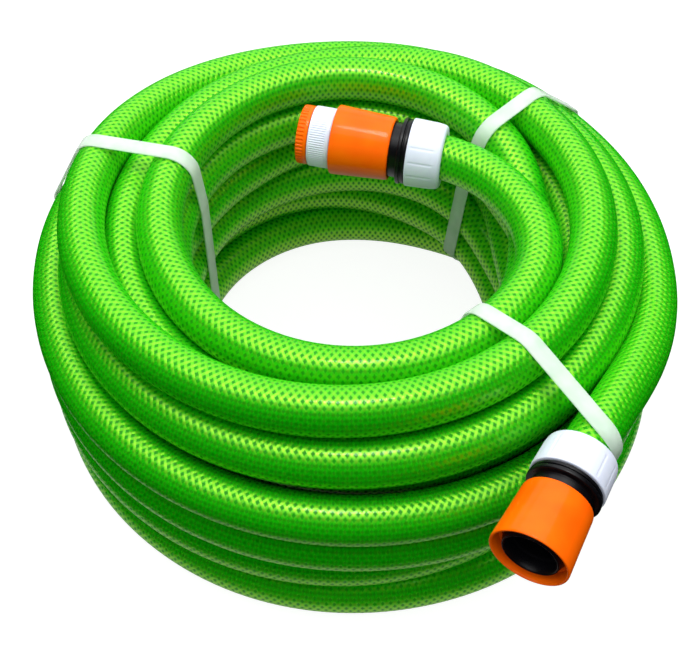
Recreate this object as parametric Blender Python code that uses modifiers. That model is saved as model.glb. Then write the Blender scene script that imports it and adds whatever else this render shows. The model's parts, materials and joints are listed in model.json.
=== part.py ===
"""A coiled braided PVC hose, tied in three places, with a quick connector on each end.

The inner end also carries a tap adaptor. Metres, +Z up. The coil lies flat on its three ties
and its axis is upright. Run with: blender --background --python part.py
"""
import math

import bpy
from mathutils import Matrix, Vector

MM = 0.001

# The hose and the coil it is wound into.
HOSE_OD = 17.0 * MM
EYE_RADIUS = 59.5 * MM
COIL_STEPS = 48
VALLEY_ANGLE = math.radians(50.0)
TURN_ARC_STEP = math.radians(36.0)

# Turns that show on the outside of the bundle, clockwise from the top, as places in hose
# diameters: outwards from the innermost turn, and upwards from the lowest one.
OUTLINE_TURNS = {
    "crown": (1.47, 4.80),
    "shoulder": (1.94, 3.90),
    "outer_4": (2.59, 2.94),
    "outer_3": (2.70, 2.00),
    "outer_2": (2.59, 1.00),
    "outer_1": (2.65, 0.00),
    "base": (1.32, 0.00),
    "inner_1": (0.00, 0.00),
    "inner_2": (0.37, 0.94),
    "inner_3": (0.00, 1.86),
    "inner_4": (0.37, 2.78),
    "inner_5": (0.03, 3.68),
    "inner_6": (0.18, 4.60),
}

# The flat plastic ties round the bundle.
TIE_THICKNESS = 1.0 * MM
TIE_WIDTH = 6.5 * MM
TIE_CLEARANCE = 0.45 * MM
TIE_ARC_STEP = math.radians(20.0)
TIE_AZIMUTHS = {"tie_left": 160.0, "tie_back_right": 41.0, "tie_front_right": -48.5}
TAIL_SLANT_ROOM = 1.8 * MM

# Play between pieces that touch or slide.
PLAY = 0.3 * MM

# A quick connector, measured along its axis from the hose side of its nut.
FITTING_STEPS = 32
NUT_LENGTH = 13.2 * MM
NUT_WALL = 1.5 * MM
NUT_CHAMFER = 1.2 * MM
NUT_LIP = 5.0 * MM
SKIRT_WALL = 2.4 * MM
COLLAR_LENGTH = 3.2 * MM
COLLAR_SET_BACK = 0.3 * MM
COLLAR_ROUND = 0.6 * MM
BARREL_WALL = 2.9 * MM
SLEEVE_LENGTH = 22.5 * MM
SLEEVE_BACK_WALL = 1.6 * MM
SLEEVE_MOUTH_WALL = 2.6 * MM
SLEEVE_ROUND = 0.8 * MM
SLEEVE_TRAVEL = 3.0 * MM
MOUTH_RECESS = 1.0 * MM
MOUTH_BEVEL = 1.0 * MM
SOCKET_BORE = 15.2 * MM
WATERWAY_BORE = 9.0 * MM
PARTITION = 3.2 * MM
HOSE_GRIP_DEPTH = 16.0 * MM

# The tap adaptor pushed into the inner connector.
SPIGOT_DEPTH = 18.5 * MM
ADAPTOR_RING_LENGTH = 8.5 * MM
ADAPTOR_RING_OD = 23.2 * MM
ADAPTOR_FLOOR = 2.2 * MM
ADAPTOR_WALL = 2.4 * MM
REDUCER_FLANGE = 4.2 * MM
REDUCER_OD = 22.6 * MM
REDUCER_SKIRT = 5.8 * MM
REDUCER_WALL = 2.0 * MM

# Where the ends of the hose lie.
INNER_HEADING = math.radians(166.4)
INNER_WALL_ROOM = 2.2 * MM
INNER_RISE = -0.7 * MM
INNER_BEND_RADIUS = 49.0 * MM
OUTER_AZIMUTH = math.radians(-53.6)
OUTER_HEADING = math.radians(-119.2)
OUTER_STANDOFF = 7.4 * MM
OUTER_RISE = 7.2 * MM
OUTER_BEND_RADIUS = 220.0 * MM
OUTER_TAIL_LENGTH = 25.0 * MM
TAIL_POINT_STEP = 4.0 * MM
TAIL_LENGTH_STEP = 0.1 * MM
TAIL_BEVEL_RESOLUTION = 3

# Sizes that follow from those above.
HOSE_R = HOSE_OD / 2
COIL_LIFT = TIE_THICKNESS + TIE_CLEARANCE
SKIRT_OD = HOSE_OD + 2 * PLAY + 2 * SKIRT_WALL
NUT_OD = SKIRT_OD + 2 * PLAY + 2 * NUT_WALL
COLLAR_OD = NUT_OD - 2 * COLLAR_SET_BACK
COLLAR_START = NUT_LENGTH + PLAY
COLLAR_END = COLLAR_START + COLLAR_LENGTH
SLEEVE_START = COLLAR_END + SLEEVE_TRAVEL + PLAY
SLEEVE_END = SLEEVE_START + SLEEVE_LENGTH
BARREL_END = SLEEVE_END - MOUTH_RECESS
SOCKET_START = HOSE_GRIP_DEPTH + PLAY + PARTITION
BARREL_OD = SOCKET_BORE + 2 * BARREL_WALL
SLEEVE_BORE = BARREL_OD + 2 * PLAY
SLEEVE_BACK_OD = SLEEVE_BORE + 2 * SLEEVE_BACK_WALL
SLEEVE_MOUTH_OD = SLEEVE_BORE + 2 * SLEEVE_MOUTH_WALL
SPIGOT_OD = SOCKET_BORE - 2 * PLAY
ADAPTOR_START = SLEEVE_END + PLAY
ADAPTOR_END = ADAPTOR_START + ADAPTOR_RING_LENGTH
ADAPTOR_BORE = ADAPTOR_RING_OD - 2 * ADAPTOR_WALL
REDUCER_START = ADAPTOR_END + PLAY
REDUCER_END = REDUCER_START + REDUCER_FLANGE
REDUCER_SKIRT_OD = ADAPTOR_BORE - 2 * PLAY
REDUCER_BORE = REDUCER_SKIRT_OD - 2 * REDUCER_WALL

COLORS = {
    "green_pvc": ((0.05, 0.48, 0.02, 1.0), 0.22),
    "white_plastic": ((0.78, 0.81, 0.87, 1.0), 0.42),
    "black_plastic": ((0.012, 0.012, 0.016, 1.0), 0.34),
    "orange_plastic": ((0.95, 0.20, 0.01, 1.0), 0.33),
    "tie_plastic": ((0.78, 0.92, 0.78, 1.0), 0.38),
}


def clear_scene():
    """Remove what the file opened with."""
    for item in list(bpy.data.objects):
        bpy.data.objects.remove(item, do_unlink=True)


def make_material(name):
    """Make one plain Principled material from the colour table."""
    color, roughness = COLORS[name]
    material = bpy.data.materials.new(name)
    material.use_nodes = True
    shader = material.node_tree.nodes["Principled BSDF"]
    shader.inputs["Base Color"].default_value = color
    shader.inputs["Roughness"].default_value = roughness
    shader.inputs["Metallic"].default_value = 0.0
    return material


def turn_place(name):
    """Return a turn's centreline radius and height above the floor."""
    across, up = OUTLINE_TURNS[name]
    return (EYE_RADIUS + HOSE_R + across * HOSE_OD, COIL_LIFT + HOSE_R + up * HOSE_OD)


def angle_of(start, end):
    """Return the angle of the left-hand normal of the line from start to end."""
    return math.atan2(end[0] - start[0], -(end[1] - start[1]))


def arc_points(center, radius, start, sweep, max_step):
    """Return points on a clockwise arc, both ends included."""
    count = max(1, math.ceil(abs(sweep) / max_step - 1e-6))
    points = []
    for i in range(count + 1):
        angle = start - sweep * i / count
        points.append((center[0] + radius * math.cos(angle), center[1] + radius * math.sin(angle)))
    return points


def rolling_outline(centers, radius, valley, max_step):
    """Return the clockwise outline of equal circles whose centres go clockwise round a bundle.

    Each circle shows an arc that dips past its neighbours' common tangent by the valley angle.
    With a valley angle of nought the outline is a band pulled tight round the circles.
    """
    count = len(centers)
    outline = []
    for i, center in enumerate(centers):
        before = angle_of(centers[i - 1], center)
        after = angle_of(center, centers[(i + 1) % count])
        turn = (before - after + math.pi) % (2 * math.pi) - math.pi
        outline += arc_points(center, radius, before + valley, turn + 2 * valley, max_step)
    return outline


def clockwise_hull(points):
    """Return the points on the convex hull, clockwise."""
    ordered = sorted(points)

    def half(sequence):
        chain = []
        for point in sequence:
            while len(chain) > 1:
                (ax, ay), (bx, by) = chain[-2], chain[-1]
                if (bx - ax) * (point[1] - ay) - (by - ay) * (point[0] - ax) < 0:
                    break
                chain.pop()
            chain.append(point)
        return chain[:-1]

    return half(ordered) + half(reversed(ordered))


def turned(name, profile, steps, material, collection, frame):
    """Turn a closed clockwise (radius, height) profile round the local Z axis."""
    mesh = bpy.data.meshes.new(name)
    verts = [(radius, 0.0, height) for radius, height in profile]
    edges = [(i, (i + 1) % len(verts)) for i in range(len(verts))]
    mesh.from_pydata(verts, edges, [])
    item = bpy.data.objects.new(name, mesh)
    collection.objects.link(item)
    item.matrix_local = frame
    screw = item.modifiers.new("turn", "SCREW")
    screw.axis = "Z"
    screw.angle = 2 * math.pi
    screw.steps = steps
    screw.render_steps = steps
    screw.use_merge_vertices = True
    screw.merge_threshold = 0.00001
    screw.use_smooth_shade = True
    mesh.materials.append(material)
    return item


def tube(name, route, material, collection):
    """Lay a round rod with filled ends along a list of points."""
    curve = bpy.data.curves.new(name, "CURVE")
    curve.dimensions = "3D"
    curve.bevel_depth = HOSE_R
    curve.bevel_resolution = TAIL_BEVEL_RESOLUTION
    curve.use_fill_caps = True
    spline = curve.splines.new("POLY")
    spline.points.add(len(route) - 1)
    for point, place in zip(spline.points, route):
        point.co = (*place, 1.0)
    curve.materials.append(material)
    item = bpy.data.objects.new(name, curve)
    collection.objects.link(item)
    return item


def band(name, inner, outer, azimuth, material, collection):
    """Make a closed flat band from two outlines in the upright plane at an azimuth."""
    curve = bpy.data.curves.new(name, "CURVE")
    curve.dimensions = "2D"
    curve.fill_mode = "BOTH"
    curve.extrude = TIE_WIDTH / 2
    for outline in (outer, inner):
        spline = curve.splines.new("POLY")
        spline.points.add(len(outline) - 1)
        spline.use_cyclic_u = True
        for point, (radius, height) in zip(spline.points, outline):
            point.co = (radius, height, 0.0, 1.0)
    curve.materials.append(material)
    item = bpy.data.objects.new(name, curve)
    item.rotation_euler = (math.radians(90.0), 0.0, azimuth)
    collection.objects.link(item)
    return item


def fitting_frame(place, heading):
    """Return the frame of a level fitting whose local Z points out of its mouth."""
    out = Vector((math.cos(heading), math.sin(heading), 0.0))
    side = Vector((-out.y, out.x, 0.0))
    up = Vector((0.0, 0.0, 1.0))
    turn = Matrix((side, up, out)).transposed().to_4x4()
    return Matrix.Translation(place) @ turn


def inner_fitting_frame():
    """Place the inner fitting as a chord inside the eye, as near the wall as it goes."""
    half_length = REDUCER_END / 2
    reach = EYE_RADIUS - INNER_WALL_ROOM
    distance = math.sqrt(reach ** 2 - half_length ** 2) - max(SLEEVE_MOUTH_OD, NUT_OD) / 2
    out = Vector((math.cos(INNER_HEADING), math.sin(INNER_HEADING), 0.0))
    wall = Vector((out.y, -out.x, 0.0))
    place = wall * distance - out * half_length
    place.z = turn_place("inner_6")[1] + INNER_RISE
    return fitting_frame(place, INNER_HEADING)


def outer_fitting_frame():
    """Place the outer fitting beside the coil's shoulder."""
    radius, height = turn_place("shoulder")
    radius += HOSE_OD + OUTER_STANDOFF
    place = Vector((radius * math.cos(OUTER_AZIMUTH), radius * math.sin(OUTER_AZIMUTH), height + OUTER_RISE))
    return fitting_frame(place, OUTER_HEADING)


def tail_route(frame, bend_radius, bend_side, length):
    """Return the hose's route from inside a fitting, out of its nut and round a bend.

    bend_side is 1 for a bend to the left of the way the hose leaves, and -1 for the right.
    """
    out = frame.to_3x3() @ Vector((0.0, 0.0, 1.0))
    start = frame.translation
    way = -out
    left = Vector((-way.y, way.x, 0.0))
    route = [start + out * HOSE_GRIP_DEPTH, start + out * (HOSE_GRIP_DEPTH / 2), start]
    count = max(2, round(length / TAIL_POINT_STEP))
    for i in range(1, count + 1):
        angle = length * i / count / bend_radius
        ahead = bend_radius * math.sin(angle)
        aside = bend_radius * (1.0 - math.cos(angle)) * bend_side
        route.append(start + way * ahead + left * aside)
    return route


def inner_tail_length(frame):
    """Return how far the inner tail runs before the corner of its end meets the coil's wall."""
    wall = turn_place("inner_6")[0] - HOSE_R
    length = TAIL_LENGTH_STEP
    while True:
        end, before = tail_route(frame, INNER_BEND_RADIUS, -1, length + TAIL_LENGTH_STEP)[-1:-3:-1]
        way = (end - before).normalized()
        corner = end + Vector((-way.y, way.x, 0.0)) * HOSE_R
        if math.hypot(corner.x, corner.y) > wall - PLAY:
            return length
        length += TAIL_LENGTH_STEP


def build_coil(materials, collection, root):
    """Make the wound turns as one ring whose outline follows the turns that show."""
    centers = [turn_place(name) for name in OUTLINE_TURNS]
    profile = rolling_outline(centers, HOSE_R, VALLEY_ANGLE, TURN_ARC_STEP)
    coil = turned("hose_coil", profile, COIL_STEPS, materials["green_pvc"], collection, Matrix())
    coil.parent = root


def build_ties(materials, collection, root, outer_frame):
    """Make the three ties; the front one also holds the outer end of the hose."""
    turns = [turn_place(name) for name in OUTLINE_TURNS]
    for name, degrees in TIE_AZIMUTHS.items():
        azimuth = math.radians(degrees)
        held = list(turns)
        if name == "tie_front_right":
            held.append(tail_crossing(outer_frame, azimuth))
        hull = clockwise_hull(held)
        inner = rolling_outline(hull, HOSE_R + TIE_CLEARANCE, 0.0, TIE_ARC_STEP)
        outer = rolling_outline(hull, HOSE_R + TIE_CLEARANCE + TIE_THICKNESS, 0.0, TIE_ARC_STEP)
        tie = band(name, inner, outer, azimuth, materials["tie_plastic"], collection)
        tie.parent = root


def tail_crossing(frame, azimuth):
    """Return the radius and height at which the outer tail passes an upright plane."""
    way = frame.to_3x3() @ Vector((0.0, 0.0, -1.0))
    start = frame.translation
    normal = Vector((-math.sin(azimuth), math.cos(azimuth), 0.0))
    along = -start.dot(normal) / way.dot(normal)
    place = start + way * along
    return (math.hypot(place.x, place.y) + TAIL_SLANT_ROOM, place.z)


def nut_profile():
    """Return the clamp nut's section: a lip round the hose, then the room for the skirt."""
    lip = HOSE_R + PLAY
    room = SKIRT_OD / 2 + PLAY
    rim = NUT_OD / 2
    return [
        (rim, NUT_LENGTH), (rim, NUT_CHAMFER), (rim - NUT_CHAMFER, 0.0), (lip, 0.0),
        (lip, NUT_LIP), (room, NUT_LIP), (room, NUT_LENGTH),
    ]


def connector_profile():
    """Return the connector body's section: hose pocket, partition with the waterway, socket."""
    pocket = HOSE_R + PLAY
    skirt = SKIRT_OD / 2
    collar = COLLAR_OD / 2
    barrel = BARREL_OD / 2
    skirt_end = NUT_LIP + PLAY
    return [
        (barrel, BARREL_END), (barrel, COLLAR_END), (collar - COLLAR_ROUND, COLLAR_END),
        (collar, COLLAR_END - COLLAR_ROUND), (collar, COLLAR_START + COLLAR_ROUND),
        (collar - COLLAR_ROUND, COLLAR_START), (skirt, COLLAR_START), (skirt, skirt_end),
        (pocket, skirt_end), (pocket, HOSE_GRIP_DEPTH + PLAY),
        (WATERWAY_BORE / 2, HOSE_GRIP_DEPTH + PLAY), (WATERWAY_BORE / 2, SOCKET_START),
        (SOCKET_BORE / 2, SOCKET_START), (SOCKET_BORE / 2, BARREL_END),
    ]


def sleeve_profile():
    """Return the release sleeve's section, from its own back end at nought."""
    back = SLEEVE_BACK_OD / 2
    mouth = SLEEVE_MOUTH_OD / 2
    bore = SLEEVE_BORE / 2
    end = SLEEVE_LENGTH
    return [
        (mouth - SLEEVE_ROUND, end), (mouth, end - SLEEVE_ROUND), (back, SLEEVE_ROUND),
        (back - SLEEVE_ROUND, 0.0), (bore, 0.0), (bore, end - MOUTH_BEVEL), (bore + MOUTH_BEVEL, end),
    ]


def adaptor_profile():
    """Return the tap adaptor's section, from the end of its spigot at nought."""
    spigot = SPIGOT_OD / 2
    ring = ADAPTOR_RING_OD / 2
    bore = ADAPTOR_BORE / 2
    water = WATERWAY_BORE / 2
    end = SPIGOT_DEPTH + ADAPTOR_RING_LENGTH
    floor = SPIGOT_DEPTH + ADAPTOR_FLOOR
    return [
        (ring, end), (ring, SPIGOT_DEPTH), (spigot, SPIGOT_DEPTH), (spigot, 0.0),
        (water, 0.0), (water, floor), (bore, floor), (bore, end),
    ]


def reducer_profile():
    """Return the threaded reducer's section, from its skirt's end at nought."""
    flange = REDUCER_OD / 2
    skirt = REDUCER_SKIRT_OD / 2
    bore = REDUCER_BORE / 2
    end = REDUCER_SKIRT + REDUCER_FLANGE
    return [
        (flange, end), (flange, REDUCER_SKIRT), (skirt, REDUCER_SKIRT), (skirt, 0.0),
        (bore, 0.0), (bore, end),
    ]


def build_connector(side, frame, materials, collection, root):
    """Make one quick connector: clamp nut, connector body and sliding release sleeve."""
    pieces = (
        ("nut", nut_profile(), 0.0, "white_plastic"),
        ("connector_body", connector_profile(), 0.0, "black_plastic"),
        ("sleeve", sleeve_profile(), SLEEVE_START, "orange_plastic"),
    )
    for piece, profile, along, color in pieces:
        place = frame @ Matrix.Translation((0.0, 0.0, along))
        item = turned(f"{side}_{piece}", profile, FITTING_STEPS, materials[color], collection, place)
        item.parent = root


def build_tap_adaptor(frame, materials, collection, root):
    """Make the tap adaptor in the inner connector's socket, and the reducer in its end."""
    pieces = (
        ("tap_adaptor_body", adaptor_profile(), ADAPTOR_START - SPIGOT_DEPTH, "white_plastic"),
        ("tap_adaptor_reducer", reducer_profile(), REDUCER_START - REDUCER_SKIRT, "orange_plastic"),
    )
    for name, profile, along, color in pieces:
        place = frame @ Matrix.Translation((0.0, 0.0, along))
        item = turned(name, profile, FITTING_STEPS, materials[color], collection, place)
        item.parent = root


def plan_center(outer_frame):
    """Return the middle of the object's plan box, with the coil's axis at nought."""
    coil_reach = max(turn_place(name)[0] for name in OUTLINE_TURNS) + HOSE_R
    mouth = outer_frame @ Vector((0.0, 0.0, SLEEVE_END))
    out = outer_frame.to_3x3() @ Vector((0.0, 0.0, 1.0))
    front = mouth.y - (SLEEVE_MOUTH_OD / 2 - SLEEVE_ROUND) * abs(out.x)
    return Vector((0.0, (coil_reach + front) / 2, 0.0))


def main():
    """Build every piece and stand the whole on the middle of its plan box."""
    clear_scene()
    collection = bpy.data.collections.new("pvc_hose")
    bpy.context.scene.collection.children.link(collection)
    materials = {name: make_material(name) for name in COLORS}
    inner_frame = inner_fitting_frame()
    outer_frame = outer_fitting_frame()
    root = bpy.data.objects.new("coil_axis", None)
    root.location = -plan_center(outer_frame)
    collection.objects.link(root)

    build_coil(materials, collection, root)
    build_ties(materials, collection, root, outer_frame)
    inner_route = tail_route(inner_frame, INNER_BEND_RADIUS, -1, inner_tail_length(inner_frame))
    outer_route = tail_route(outer_frame, OUTER_BEND_RADIUS, 1, OUTER_TAIL_LENGTH)
    for name, route in (("hose_inner_tail", inner_route), ("hose_outer_tail", outer_route)):
        tail = tube(name, route, materials["green_pvc"], collection)
        tail.parent = root
    build_connector("inner", inner_frame, materials, collection, root)
    build_connector("outer", outer_frame, materials, collection, root)
    build_tap_adaptor(inner_frame, materials, collection, root)


main()
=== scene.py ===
import json
import logging
import math
from dataclasses import dataclass
from enum import Enum

import bpy
import numpy as np
from mathutils import Matrix, Vector


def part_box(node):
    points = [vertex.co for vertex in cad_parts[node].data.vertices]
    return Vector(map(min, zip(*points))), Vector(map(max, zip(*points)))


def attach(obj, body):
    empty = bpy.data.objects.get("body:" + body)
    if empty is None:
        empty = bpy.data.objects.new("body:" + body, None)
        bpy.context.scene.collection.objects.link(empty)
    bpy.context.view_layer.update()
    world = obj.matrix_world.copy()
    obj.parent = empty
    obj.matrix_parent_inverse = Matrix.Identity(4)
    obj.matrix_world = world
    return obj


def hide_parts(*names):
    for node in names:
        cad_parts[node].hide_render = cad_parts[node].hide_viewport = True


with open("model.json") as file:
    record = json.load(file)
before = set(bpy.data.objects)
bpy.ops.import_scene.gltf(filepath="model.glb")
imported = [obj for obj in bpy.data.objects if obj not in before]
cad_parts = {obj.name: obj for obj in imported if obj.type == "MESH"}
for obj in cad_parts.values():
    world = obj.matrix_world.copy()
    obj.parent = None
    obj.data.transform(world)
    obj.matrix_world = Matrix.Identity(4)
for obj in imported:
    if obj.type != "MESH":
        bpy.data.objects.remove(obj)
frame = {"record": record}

MM = 0.001
LOG = logging.getLogger("hose")

Pair = tuple[float, float]
Triple = tuple[float, float, float]
Socket = str | int

# A colour Mix node gives these sockets by number only, since its float and vector ones share their names.
MIX_LOW, MIX_HIGH, MIX_RESULT = 6, 7, 2


class Plastic(Enum):
    """The record's material slots."""

    GREEN = "green_pvc"
    WHITE = "white_plastic"
    BLACK = "black_plastic"
    ORANGE = "orange_plastic"
    TIE = "tie_plastic"


def linear(hex_color: str) -> tuple[float, float, float, float]:
    """Turn an sRGB hex colour into linear light.

    Args:
        hex_color: Six hex digits after a hash mark.

    Returns:
        Red, green, blue and an alpha of one.
    """
    channels = [int(hex_color[i:i + 2], 16) / 255 for i in (1, 3, 5)]
    red, green, blue = [c / 12.92 if c <= 0.04045 else ((c + 0.055) / 1.055) ** 2.4 for c in channels]
    return (red, green, blue, 1.0)


class Recipe:
    """A material being put together from nodes."""

    def __init__(self, name: str) -> None:
        """Start an empty material.

        Args:
            name: The material's name.
        """
        self.material = bpy.data.materials.new(name)
        self.material.use_nodes = True
        self.tree = self.material.node_tree
        self.tree.nodes.clear()
        self.output = self.tree.nodes.new("ShaderNodeOutputMaterial")

    def add(
        self, kind: str, links: dict[Socket, bpy.types.NodeSocket] | None = None,
        inputs: dict[Socket, object] | None = None, **settings: object,
    ) -> bpy.types.Node:
        """Add one node with its settings and links.

        Args:
            kind: The node's Blender type after ShaderNode.
            links: Input name or number to the output socket that feeds it.
            inputs: Input name or number to its own value.
            **settings: The node's own properties.

        Returns:
            The new node.
        """
        node = self.tree.nodes.new("ShaderNode" + kind)
        for key, value in settings.items():
            setattr(node, key, value)
        for key, value in (inputs or {}).items():
            node.inputs[key].default_value = value
        for key, socket in (links or {}).items():
            self.tree.links.new(socket, node.inputs[key])
        return node

    def ramp(self, source: bpy.types.NodeSocket, stops: list[tuple[float, str]]) -> bpy.types.Node:
        """Add a colour ramp over a socket.

        Args:
            source: The value that drives the ramp.
            stops: Position and hex colour of each stop, in rising order.

        Returns:
            The ramp node.
        """
        node = self.add("ValToRGB", {"Fac": source})
        elements = node.color_ramp.elements
        while len(elements) < len(stops):
            elements.new(0.5)
        for element, (position, color) in zip(elements, stops):
            element.position = position
            element.color = linear(color)
        return node

    def finish(self, surface: bpy.types.NodeSocket) -> bpy.types.Material:
        """Link the surface shader to the output.

        Args:
            surface: The surface shader.

        Returns:
            The finished material.
        """
        self.tree.links.new(surface, self.output.inputs["Surface"])
        return self.material


@dataclass(frozen=True)
class BraidedPvc:
    """Plasticised PVC, clear and green, extruded over white polyester yarn braided both ways.

    The eye sees the yarn shine like silk where the light crosses it, dark diamonds between the
    threads, and away from the light only the green glow of what has come through the wall.
    """

    name: str = "braided_clear_green_pvc"
    wall_color: str = "#16DA05"
    gap_color: str = "#209002"
    yarn_color: str = "#A8DC3A"
    braid_angle: float = 54.9
    thread_width: float = 0.49
    edge_softness: float = 0.22
    silk_share: float = 0.46
    silk_roughness: float = 0.42
    silk_stretch: float = 0.85
    wall_roughness: float = 0.6
    wall_gloss: float = 0.2
    wall_depth_mm: float = 6.0
    wall_depth_by_color: Triple = (0.08, 1.0, 0.08)
    thread_height_mm: float = 0.2
    coat_share: float = 0.2
    coat_roughness: float = 0.09
    ior: float = 1.5
    coat_ior: float = 1.52

    def make(self) -> bpy.types.Material:
        """Build the material; its U counts braid pitches along the hose and its V starts round it."""
        mix = Recipe(self.name)
        place = mix.add("UVMap", uv_map="braid")
        axes = mix.add("SeparateXYZ", {0: place.outputs[0]})
        coat = {
            "Coat Weight": self.coat_share, "Coat Roughness": self.coat_roughness,
            "Coat IOR": self.coat_ior, "IOR": self.ior,
        }
        threads = [self.thread(mix, axes, operation) for operation in ("SUBTRACT", "ADD")]
        covered = mix.add("Math", {0: threads[0], 1: threads[1]}, operation="MAXIMUM")
        color = mix.add("Mix", {0: covered.outputs[0]}, data_type="RGBA")
        color.inputs[MIX_LOW].default_value = linear(self.gap_color)
        color.inputs[MIX_HIGH].default_value = linear(self.wall_color)
        shader = mix.add("BsdfPrincipled", {"Base Color": color.outputs[MIX_RESULT]}, {
            **coat, "Roughness": self.wall_roughness, "Specular IOR Level": self.wall_gloss,
            "Subsurface Weight": 1.0, "Subsurface Radius": self.wall_depth_by_color,
            "Subsurface Scale": self.wall_depth_mm * MM,
        })
        along = mix.add("Tangent", direction_type="UV_MAP", uv_map="braid")
        round_threads = mix.add("Bump", {"Height": covered.outputs[0]}, {
            "Strength": 1.0, "Distance": self.thread_height_mm * MM,
        })
        # The shine spreads across a thread, so its long axis stands square to the thread.
        quarter_turn = 0.25
        for thread, side in zip(threads, (1.0, -1.0)):
            silk = mix.add("BsdfPrincipled", {
                "Tangent": along.outputs[0], "Normal": round_threads.outputs[0],
            }, {
                **coat, "Base Color": linear(self.yarn_color), "Metallic": 1.0,
                "Roughness": self.silk_roughness, "Anisotropic": self.silk_stretch,
                "Anisotropic Rotation": (quarter_turn + side * self.braid_angle / 360) % 1.0,
            })
            share = mix.add("Math", {0: thread}, {1: self.silk_share}, operation="MULTIPLY")
            shader = mix.add("MixShader", {0: share.outputs[0], 1: shader.outputs[0], 2: silk.outputs[0]})
        return mix.finish(shader.outputs[0])

    def thread(self, mix: Recipe, axes: bpy.types.Node, operation: str) -> bpy.types.NodeSocket:
        """Draw the threads that run one way.

        Args:
            mix: The material being made.
            axes: The node that gives U and V.
            operation: SUBTRACT for threads that climb with V, ADD for those that fall.

        Returns:
            One on a thread and nought beside it.
        """
        phase = mix.add("Math", {0: axes.outputs[0], 1: axes.outputs[1]}, operation=operation)
        half_pitch = 0.5
        wave = mix.add("Math", {0: phase.outputs[0]}, {1: half_pitch}, operation="PINGPONG")
        half, soft = self.thread_width / 2, self.edge_softness / 2
        edge = mix.add("MapRange", {"Value": wave.outputs[0]}, {
            "From Min": half - soft, "From Max": half + soft, "To Min": 1.0, "To Max": 0.0,
        }, interpolation_type="SMOOTHSTEP")
        return edge.outputs[0]


@dataclass(frozen=True)
class MouldedPlastic:
    """ABS, injection moulded in a spark-eroded tool.

    The eye sees an even body colour with a faint cloud in it, and a fine grain that breaks up the gloss.
    """

    name: str
    color: str
    shade: str
    roughness: float
    grain_depth_mm: float
    grain_mm: float = 0.35
    grain_strength: float = 0.35
    cloud_mm: float = 11.1
    tone_range: Pair = (0.3, 0.7)
    smoother: float = 0.05
    rougher: float = 0.07
    subsurface: float = 0.0
    scatter_depth_mm: float = 1.5
    scatter_by_color: Triple = (1.0, 0.8, 0.7)
    coat: float = 0.0
    coat_roughness: float = 0.1
    gloss: float = 0.5
    ior: float = 1.5

    def make(self) -> bpy.types.Material:
        """Build the material."""
        mix = Recipe(self.name)
        place = mix.add("TexCoord")
        cloud = mix.add("TexNoise", {"Vector": place.outputs["Object"]}, {
            "Scale": 1.0 / (self.cloud_mm * MM), "Detail": 2.0,
        })
        low, high = self.tone_range
        tone = mix.ramp(cloud.outputs[0], [(low, self.shade), (high, self.color)])
        grain = mix.add("TexNoise", {"Vector": place.outputs["Object"]}, {
            "Scale": 1.0 / (self.grain_mm * MM), "Detail": 1.0,
        })
        rough = mix.add("MapRange", {"Value": grain.outputs[0]}, {
            "From Min": low, "From Max": high,
            "To Min": self.roughness - self.smoother, "To Max": self.roughness + self.rougher,
        })
        bump = mix.add("Bump", {"Height": grain.outputs[0]}, {
            "Strength": self.grain_strength, "Distance": self.grain_depth_mm * MM,
        })
        shader = mix.add("BsdfPrincipled", {
            "Base Color": tone.outputs[0], "Roughness": rough.outputs[0], "Normal": bump.outputs[0],
        }, {
            "IOR": self.ior, "Specular IOR Level": self.gloss,
            "Subsurface Weight": self.subsurface, "Subsurface Radius": self.scatter_by_color,
            "Subsurface Scale": self.scatter_depth_mm * MM,
            "Coat Weight": self.coat, "Coat Roughness": self.coat_roughness,
        })
        return mix.finish(shader.outputs[0])


@dataclass(frozen=True)
class StrapFilm:
    """Extruded polyethylene strap: milky, waxy and thin enough that what lies under it shades it."""

    name: str = "milky_polyethylene_strap"
    color: str = "#E8F9EA"
    shade: str = "#D4EED8"
    opacity: float = 0.68
    roughness: float = 0.38
    ior: float = 1.5
    rib_mm: float = 0.8
    rib_height_mm: float = 0.1
    rib_strength: float = 0.2
    rib_waver: float = 0.6
    cloud_mm: float = 8.3
    tone_range: Pair = (0.3, 0.65)
    milkiness: float = 0.5
    scatter_depth_mm: float = 2.0
    scatter_by_color: Triple = (1.0, 1.0, 0.9)

    def make(self) -> bpy.types.Material:
        """Build the material; its UV map is in mm, and the die's fine lines run along the strap."""
        mix = Recipe(self.name)
        place = mix.add("UVMap", uv_map="strap")
        lines = mix.add("TexWave", {"Vector": place.outputs[0]}, {
            "Scale": 1.0 / self.rib_mm, "Distortion": self.rib_waver, "Detail": 1.0,
        }, bands_direction="Y")
        cloud = mix.add("TexNoise", {"Vector": place.outputs[0]}, {
            "Scale": 1.0 / self.cloud_mm, "Detail": 2.0,
        })
        low, high = self.tone_range
        tone = mix.ramp(cloud.outputs[0], [(low, self.shade), (high, self.color)])
        bump = mix.add("Bump", {"Height": lines.outputs[0]}, {
            "Strength": self.rib_strength, "Distance": self.rib_height_mm * MM,
        })
        shader = mix.add("BsdfPrincipled", {"Base Color": tone.outputs[0], "Normal": bump.outputs[0]}, {
            "Roughness": self.roughness, "IOR": self.ior, "Subsurface Weight": self.milkiness,
            "Subsurface Radius": self.scatter_by_color, "Subsurface Scale": self.scatter_depth_mm * MM,
            "Alpha": self.opacity,
        })
        return mix.finish(shader.outputs[0])


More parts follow.
